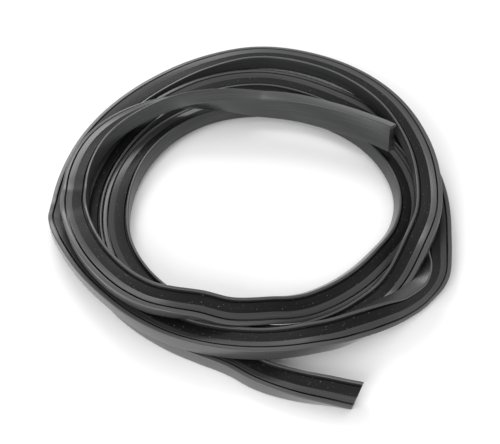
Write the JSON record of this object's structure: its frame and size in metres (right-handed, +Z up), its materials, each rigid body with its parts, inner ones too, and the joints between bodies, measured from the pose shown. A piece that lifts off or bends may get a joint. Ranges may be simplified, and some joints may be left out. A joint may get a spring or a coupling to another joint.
{
  "type": "rubber seal profile",
  "caption": "Black rubber seal strip of constant section, with a lip, a recessed face and a slit, lying as a loose flat coil.",
  "frame": {"origin": "on the floor under the middle of the coil's box", "axes": "+Z up, +Y along the coil's longer side, away from the loose end that lies on the floor"},
  "size_m": [0.2034, 0.2358, 0.0268],
  "materials": {
    "rubber": "satin black extruded rubber with fine lengthwise lines"
  },
  "bodies": {
    "root": {"seal_strip": "rubber"}
  },
  "joints": []
}
